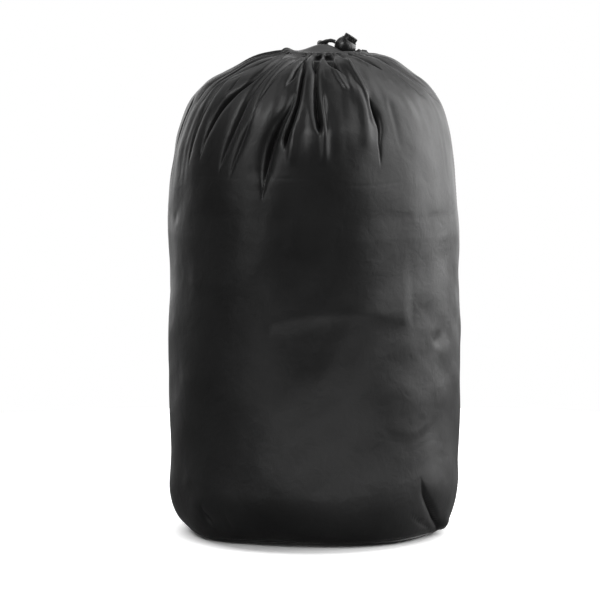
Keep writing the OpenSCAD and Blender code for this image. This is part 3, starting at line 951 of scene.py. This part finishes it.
def base_surface(theta):
    """The round bottom panel and its turned-up edge, to the base seam."""
    a = np.linspace(0, SEAM_ANGLE, 26)
    flat = np.linspace(0.02, FLAT_R, 36, endpoint=False)
    r = np.concatenate([flat, FLAT_R + CORNER_W * np.sin(a)])[:, None]
    z = np.concatenate([np.zeros(len(flat)), CORNER_H - CORNER_H * np.cos(a)])[:, None]
    ct, st = np.cos(theta)[None], np.sin(theta)[None]
    foot = np.where(r < FLAT_R, r / FLAT_R, (WALL_R - r) / CORNER_W)
    lift = waves(r * ct, r * st, 17, 8, 30, 80) * 0.25 * ease((r - 60) / 40)
    wide = r + foot * corner_fill(theta)[None]
    z = z + np.clip(lift + 0.1, 0, None) * (r < 100)
    return np.stack([wide * ct, wide * st, z + 0 * ct], -1)


base_points = base_surface(np.linspace(0, TURN, 360, endpoint=False))
base_faces = grid_faces(*base_points.shape[:2])[:, ::-1]
base = mesh_object("base_fabric", base_points.reshape(-1, 3), base_faces,
                   (base_points[..., :2] * MM).reshape(-1, 2)[base_faces.ravel()])
close_ends(base)
dress(base, NYLON, "sack_cloth", "sack", "base_panel")


# ---- Storm flap ----

CROWN_EDGE = 28.3
FLAP_R = 56.0
FLAP_Z = 438.0
HINGE_Y = 47.5
BALL_ROOM, LEAD_ROOM = 11.2, 4.4      # radius kept clear about the ball and about the leads


def flap_height(x, y):
    """Top of the flap: the crown, blended into the flat rim, dented by the ball and the cords."""
    d = np.hypot(x - CROWN_AT[0], y - CROWN_AT[1])
    dome = crown_height(x, y)
    z = FLAP_Z + (dome - FLAP_Z) * ease((CROWN_EDGE + 1.6 - d) / 5.5)
    # round the crown the flap sags a little from its hem
    z = z - 3.6 * ease((d - 28) / 5) * ease((51 - d) / 6)
    # the cloth is pressed down in front of the ball
    z = z - 2.6 * np.exp(-((x - 29) / 8) ** 2 - ((y + 7) / 8) ** 2)
    # lowest height that clears a sphere about the ball, and its slides
    p = np.stack([x - LOCK_AT[0], y - LOCK_AT[1]], -1)
    under = LOCK_AT[2] - np.sqrt(np.clip(BALL_ROOM ** 2 - (p ** 2).sum(-1), 0, None))
    inside = (p ** 2).sum(-1) < BALL_ROOM ** 2
    # under the slide towards the mouth's middle and under the leads
    for way, room, reach in ((SLIDE, BALL_ROOM, 30.0), (-SLIDE, LEAD_ROOM, 16.0)):
        t = np.clip(p[..., 0] / way[0], 0, reach)
        cz = LOCK_AT[2] + t * way[2]
        across = np.abs(p[..., 1])
        floor = cz - np.sqrt(np.clip(room ** 2 - across ** 2, 0, None)) / abs(way[0])
        ok = (across < room) & (p[..., 0] * np.sign(way[0]) > 0) & (t < reach)
        under = np.where(ok, np.where(inside, np.minimum(under, floor), floor), under)
        inside = inside | ok
    soft = 0.8
    under = np.where(inside, under, 1e3)
    return -soft * np.logaddexp(-z / soft, -under / soft)


def flap_surface(theta, frac):
    ct, st = np.cos(theta)[None], np.sin(theta)[None]
    edge = np.minimum(FLAP_R, np.where(st > 0, HINGE_Y / np.maximum(st, 1e-6), 1e9))
    r = frac[:, None] * edge
    x, y = MOUTH_X + r * ct, r * st
    z = flap_height(x, y)
    pull = waves(np.degrees(theta)[None] + 0 * r, r * 0.6, 29, 8, 18, 40)
    z = z + 0.22 * pull * ease((r - 24) / 14) * ease((edge - r) / 6)
    return np.stack([x, y, z], -1)


flap_points = flap_surface(np.linspace(0, TURN, 288, endpoint=False),
                           np.concatenate([[0.002], np.linspace(0.02, 1, 110)]))
flap_faces = grid_faces(*flap_points.shape[:2])[:, ::-1]
flap = mesh_object("flap_fabric", flap_points.reshape(-1, 3), flap_faces,
                   (flap_points[..., :2] * MM).reshape(-1, 2)[flap_faces.ravel()])
# the flap wears the copy of the nylon painted lighter for the light on its crown
dress(flap, NYLON_FLAP_PAINTED_LIGHTER, "sack_cloth", "flap", "storm_flap")


# ---- The cord in the channel, and stitching ----

LOOP_FROM, LOOP_TO = 26.0, 360.5


def ring_point(deg, radius, z):
    t = math.radians(deg)
    ends = ease((deg - LOOP_FROM) / 5) * ease((LOOP_TO - deg) / 5)
    return [MOUTH_X + radius * math.cos(t), radius * math.sin(t),
            z - float(ends * rim_dip(np.array(t), np.array(radius)))]


loop, _ = braided_tube("cord_loop", [ring_point(d, RING_R, RING_Z)
                                     for d in np.arange(LOOP_FROM, LOOP_TO, 1.5)],
                       CORD_D / 2 - 0.05, step=0.5, sides=20)
dress(loop, BRAID, "cord_braid", "sack", "drawcord_loop")


def thread_mesh(path, radius, sides=6):
    """Points and faces of one thread, thinner at its two ends."""
    taper = np.ones(len(path))
    taper[[0, -1]] = 0.35
    return rings(np.asarray(path, float), radius * taper[:, None], sides), \
        grid_faces(len(path), sides)


def join_tubes(name, tubes):
    verts, faces, base_at = [], [], 0
    for v, f in tubes:
        verts.append(v)
        faces.append(f + base_at)
        base_at += len(v)
    obj = mesh_object(name, np.concatenate(verts), np.concatenate(faces))
    close_ends(obj)
    return obj


def stitch_row(name, line, pitch, length, radius):
    """Single stitches along a line, each a short thread that dives in at both ends."""
    fine_line, at = resample(line, 0.4)
    tubes = []
    start = 0.0
    while start + length < at[-1]:
        want = start + np.linspace(0, length, 5)
        path = np.stack([np.interp(want, at, fine_line[:, i]) for i in range(3)], -1)
        tubes.append(thread_mesh(path, radius))
        start += pitch
    return join_tubes(name, tubes)


def fabric_line(s_at, degrees, lift):
    """Points on the cloth at one distance from the rim, lifted off it."""
    row = int(np.argmin(np.abs(rows_s - s_at)))
    p = points[row - 1:row + 2]
    along = np.roll(p[1], -1, 0) - np.roll(p[1], 1, 0)
    n = np.cross(along, p[2] - p[0])
    n /= np.linalg.norm(n, axis=1)[:, None]
    centre = p[1].mean(0) - [0, 0, 60]
    n *= np.sign(((p[1] - centre) * n).sum(1))[:, None]
    deg = np.degrees(columns) % 360
    order = np.argsort(deg)
    line = (p[1] + lift * n)[order]
    keep = (deg[order] >= degrees[0]) & (deg[order] <= degrees[1])
    return line[keep]


channel_stitches = stitch_row("channel_stitches", fabric_line(9.0, (29, 357), 0.0),
                              pitch=2.9, length=2.2, radius=0.2)
dress(channel_stitches, THREAD, "thread", "sack", "channel_stitching")
seam_line = fabric_line(rows_s[-1] - 4.0, (0, 360), 0.1)
base_stitches = stitch_row("base_stitches", np.concatenate([seam_line, seam_line[:1]]),
                           pitch=3.2, length=2.4, radius=0.26)
dress(base_stitches, THREAD, "thread", "sack", "base_stitching")

# the upright seam's stitches, just behind the groove of the seam
side_line = points[rows_s > 40, np.argmin(np.abs(turn_from(columns, 3.2)))]
side_stitches = stitch_row("side_stitches", side_line, pitch=3.2, length=2.4, radius=0.2)
dress(side_stitches, THREAD, "thread", "sack")


def bartack(start, end):
    """Close turns of thread round an end of the channel."""
    turns, steps, out = 7, 16, 4.75
    path = []
    for i in range(turns * steps + 1):
        f = i / (turns * steps)
        a = f * turns * TURN
        t = math.radians(start + (end - start) * f)
        r, z = RING_R + out * math.cos(a), RING_Z + out * math.sin(a)
        z -= float(rim_dip(np.array(t), np.array(RING_R)))
        path.append([MOUTH_X + r * math.cos(t), r * math.sin(t), z])
    return thread_mesh(path, 0.27)


bartacks = join_tubes("bartacks", [bartack(26.3, 29.8), bartack(-3.8, -0.3)])
dress(bartacks, THREAD, "thread", "sack", "channel_bartacks")


# ---- Hinge tape, and the pieces kept from the CAD ----

def hinge_tape():
    """The tape that the flap hangs on, cut to stay under the pleats of the cloth above it."""
    sections, thick = 81, 1.4
    (x0, _, z0), (x1, y1, z1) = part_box("flap_hinge_tape")
    x0, x1, y1, z0, z1 = x0 / MM, x1 / MM, y1 / MM, z0 / MM, z1 / MM
    y0 = y1 - thick
    cloth = points.reshape(-1, 3)
    cloth = cloth[(np.abs(cloth[:, 1] - y1) < 2.6) & (cloth[:, 2] > z0 - 5)]
    rings = []
    for x in np.linspace(x0, x1, sections):
        over = cloth[np.abs(cloth[:, 0] - x) < 1.6]
        top = min(z1, over[:, 2].min() - 1.3) if len(over) else z1
        top = max(top, z0 + 1.2)
        rings.append([(x, y0, z0), (x, y1, z0), (x, y1, top - 0.4), (x, y1 - 0.3, top),
                      (x, y0 + 0.3, top), (x, y0, top - 0.4)])
    rings = np.array(rings)
    last = 6 * (sections - 1)
    ends = [(0, 5, 2, 1), (5, 4, 3, 2), (last, last + 1, last + 2, last + 5),
            (last + 5, last + 2, last + 3, last + 4)]
    faces = np.vstack([grid_faces(sections, 6)[:, ::-1], ends])
    return mesh_object("hinge_tape", rings.reshape(-1, 3), faces, smooth=False)


dress(hinge_tape(), TAPE, "seam_tape", "sack", "flap_hinge_tape")
for name, mat in (("side_seam_tape", TAPE), ("base_seam_binding", TAPE), ("flap_hem", TAPE),
                  ("lock_barrel", PLASTIC), ("lock_button", PLASTIC), ("lock_spring", WIRE)):
    paint(frame["nodes"][name], mat)


# ---- Floor and light ----

FLOOR_R = 950.0


def stage_floor():
    """A round pale table top made white by a painted glow. The glow is held back round the sack's
    foot so that a shadow shows there, and it fades into the white backdrop at its edge.
    """
    n = 96
    a = np.arange(n) / n * TURN
    radii = [0.0, 150, 300, 500, 700, FLOOR_R]
    verts = [(r * math.cos(t), r * math.sin(t), -0.2) for r in radii for t in a]
    floor = mesh_object("floor", verts, grid_faces(len(radii), n), smooth=False)
    mat, tree, bsdf, coord = new_material(
        "pale_floor_painted_glow", Base_Color=(0.9, 0.9, 0.9, 1), Roughness=0.9, Specular_IOR_Level=0.1,
        Emission_Strength=0.9)
    # the glow is left out of an ellipse round the foot: a painted shadow zone that reaches a
    # little farther to the front than to the sides
    shadow_oval = add(tree, "ShaderNodeMapping", [("Vector", coord.outputs["Object"])],
               Scale=(1.12, 0.86, 1))
    far = add(tree, "ShaderNodeVectorMath", [(0, shadow_oval.outputs["Vector"])], operation="LENGTH")
    feed(tree, bsdf, Emission_Color=ramp(tree, far.outputs["Value"], [
        (0.125, 0), (0.148, 0.8), (0.3, 0.92), (0.8, 1)]))
    paint(floor, mat)
    floor.visible_glossy = False


def area_light(name, at, toward, width, height, power):
    data = bpy.data.lights.new(name, "AREA")
    data.shape = "RECTANGLE"
    data.size, data.size_y = width, height
    data.energy = power
    light = bpy.data.objects.new(name, data)
    scene.collection.objects.link(light)
    light.location = at
    light.rotation_mode = "QUATERNION"
    light.rotation_quaternion = (Vector(toward) - Vector(at)).to_track_quat("-Z", "Y")
    light.visible_camera = False


def studio_world():
    """A white backdrop for the camera that lights the sack only faintly."""
    world = bpy.data.worlds.new("studio")
    scene.world = world
    world.use_nodes = True
    tree = world.node_tree
    tree.nodes.clear()
    ray = add(tree, "ShaderNodeLightPath").outputs["Is Camera Ray"]
    lit, seen = (add(tree, "ShaderNodeBackground", Color=(1, 1, 1, 1), Strength=strength)
                 for strength in (0.02, 1.0))
    mix = add(tree, "ShaderNodeMixShader", [(0, ray), (1, lit.outputs[0]), (2, seen.outputs[0])])
    add(tree, "ShaderNodeOutputWorld", [(0, mix.outputs[0])])


stage_floor()
studio_world()
MIDDLE = (0, 0, 0.25)
# name, place, width, height and power of each soft light
SOFTBOXES = [
    ("right", (2.2, 0.5, 0.9), 2.2, 1.8, 50.5),
    ("right_front", (2.0, -1.3, 0.9), 1.0, 1.4, 13.5),
    ("left", (-1.9, -1.6, 0.8), 0.9, 1.4, 4.4),
    ("left_side", (-2.2, 0.2, 0.8), 1.2, 1.6, 0.3),
    ("top_left_front", (-1.2, -1.4, 1.9), 1.0, 0.8, 16),
    ("top_right_front", (1.2, -1.4, 1.9), 1.0, 0.8, 6.2),
    ("top_left", (-1.3, 0.0, 2.2), 1.4, 1.4, 6),
    ("top_right", (1.3, 0.2, 2.2), 1.6, 1.6, 19),
    ("top_back", (0.0, 1.6, 2.2), 2.2, 1.4, 7),
    ("left_back", (-1.6, 1.6, 0.9), 1.2, 1.6, 4),
    ("right_back", (1.6, 1.6, 0.9), 1.2, 1.6, 4),
    ("back", (0.0, 2.4, 0.6), 4.0, 1.2, 22),
]
for name, at, width, height, power in SOFTBOXES:
    area_light("softbox_" + name, at, MIDDLE, width, height, power)
# light that the pale table throws back at the sack's foot
area_light("table_bounce", (0, -0.45, 0.05), (0, 0, 0.02), 0.7, 0.06, 0.3)
